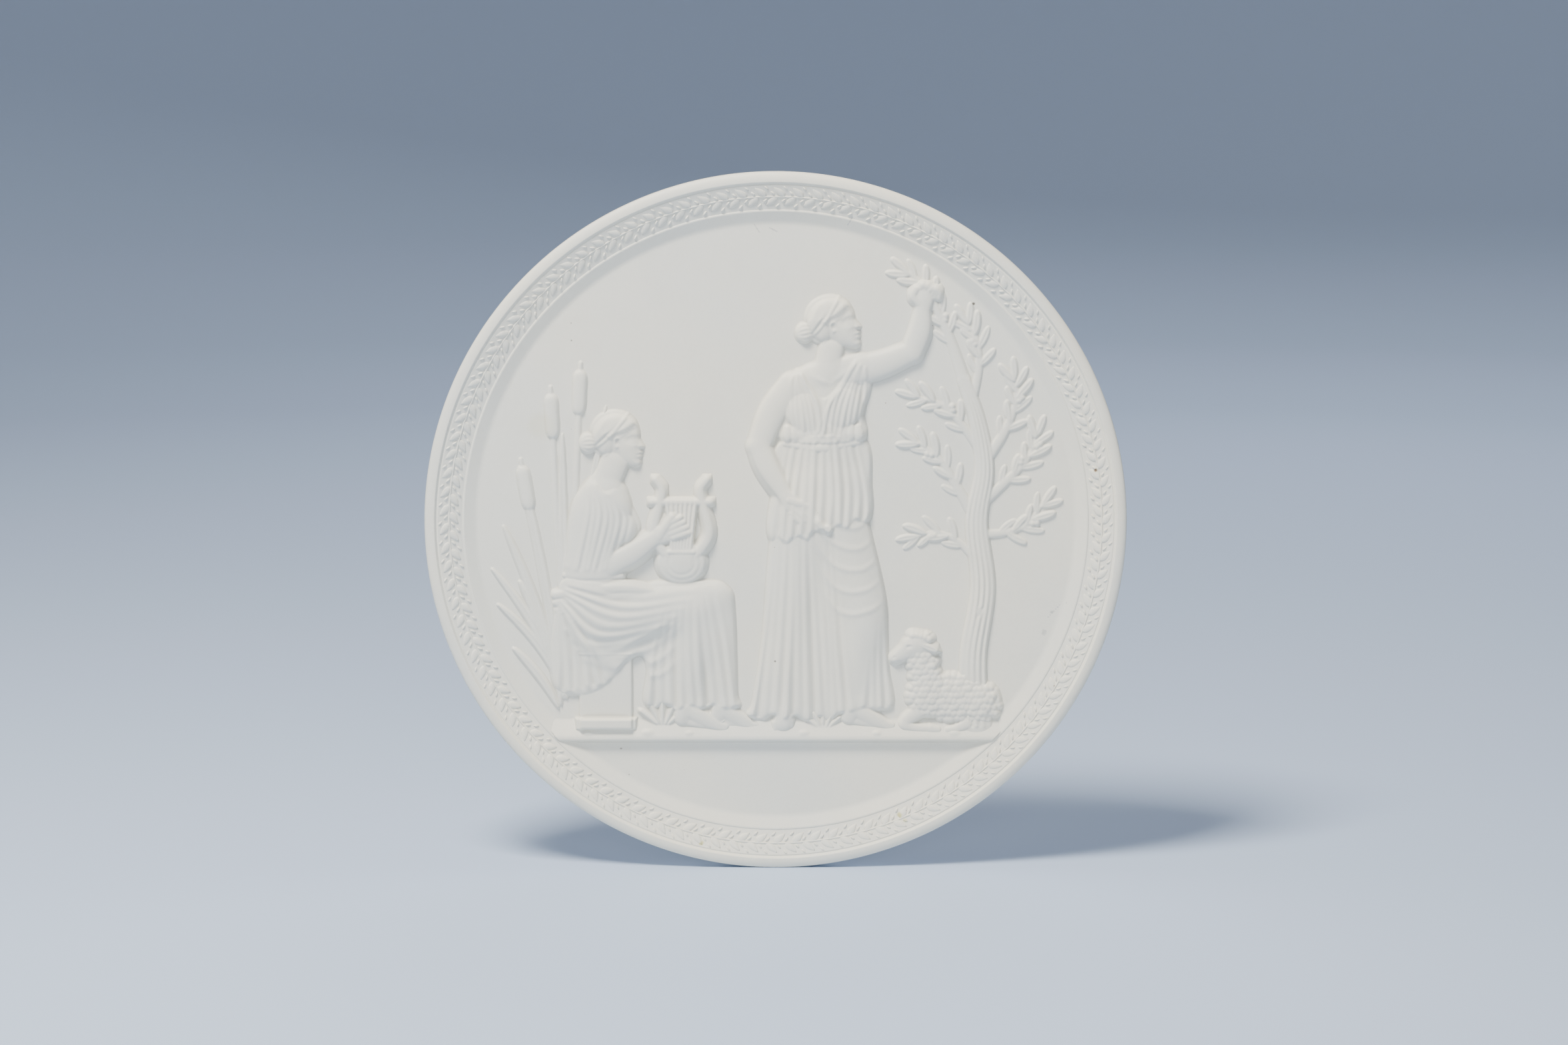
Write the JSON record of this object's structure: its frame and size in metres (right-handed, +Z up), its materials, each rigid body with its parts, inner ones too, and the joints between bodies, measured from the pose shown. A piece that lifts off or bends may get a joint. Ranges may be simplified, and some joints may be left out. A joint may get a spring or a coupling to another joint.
{
  "type": "round relief wall plaque",
  "caption": "Round white biscuit porcelain wall plaque: women, a laurel tree and a lamb in low relief, inside a leaf border and a rounded rim, with a foot ring and cord holes behind.",
  "frame": {"origin": "on the wall plane, on the flat rear face of the foot ring, straight above the plaque's centre", "axes": "+Y back into the wall, so the relief faces -Y, +Z up, +X to the right of someone who looks at the front"},
  "size_m": [0.285, 0.02, 0.285],
  "materials": {
    "biscuit_porcelain": "matt unglazed"
  },
  "bodies": {
    "root": {"plaque": "biscuit_porcelain"}
  },
  "joints": []
}
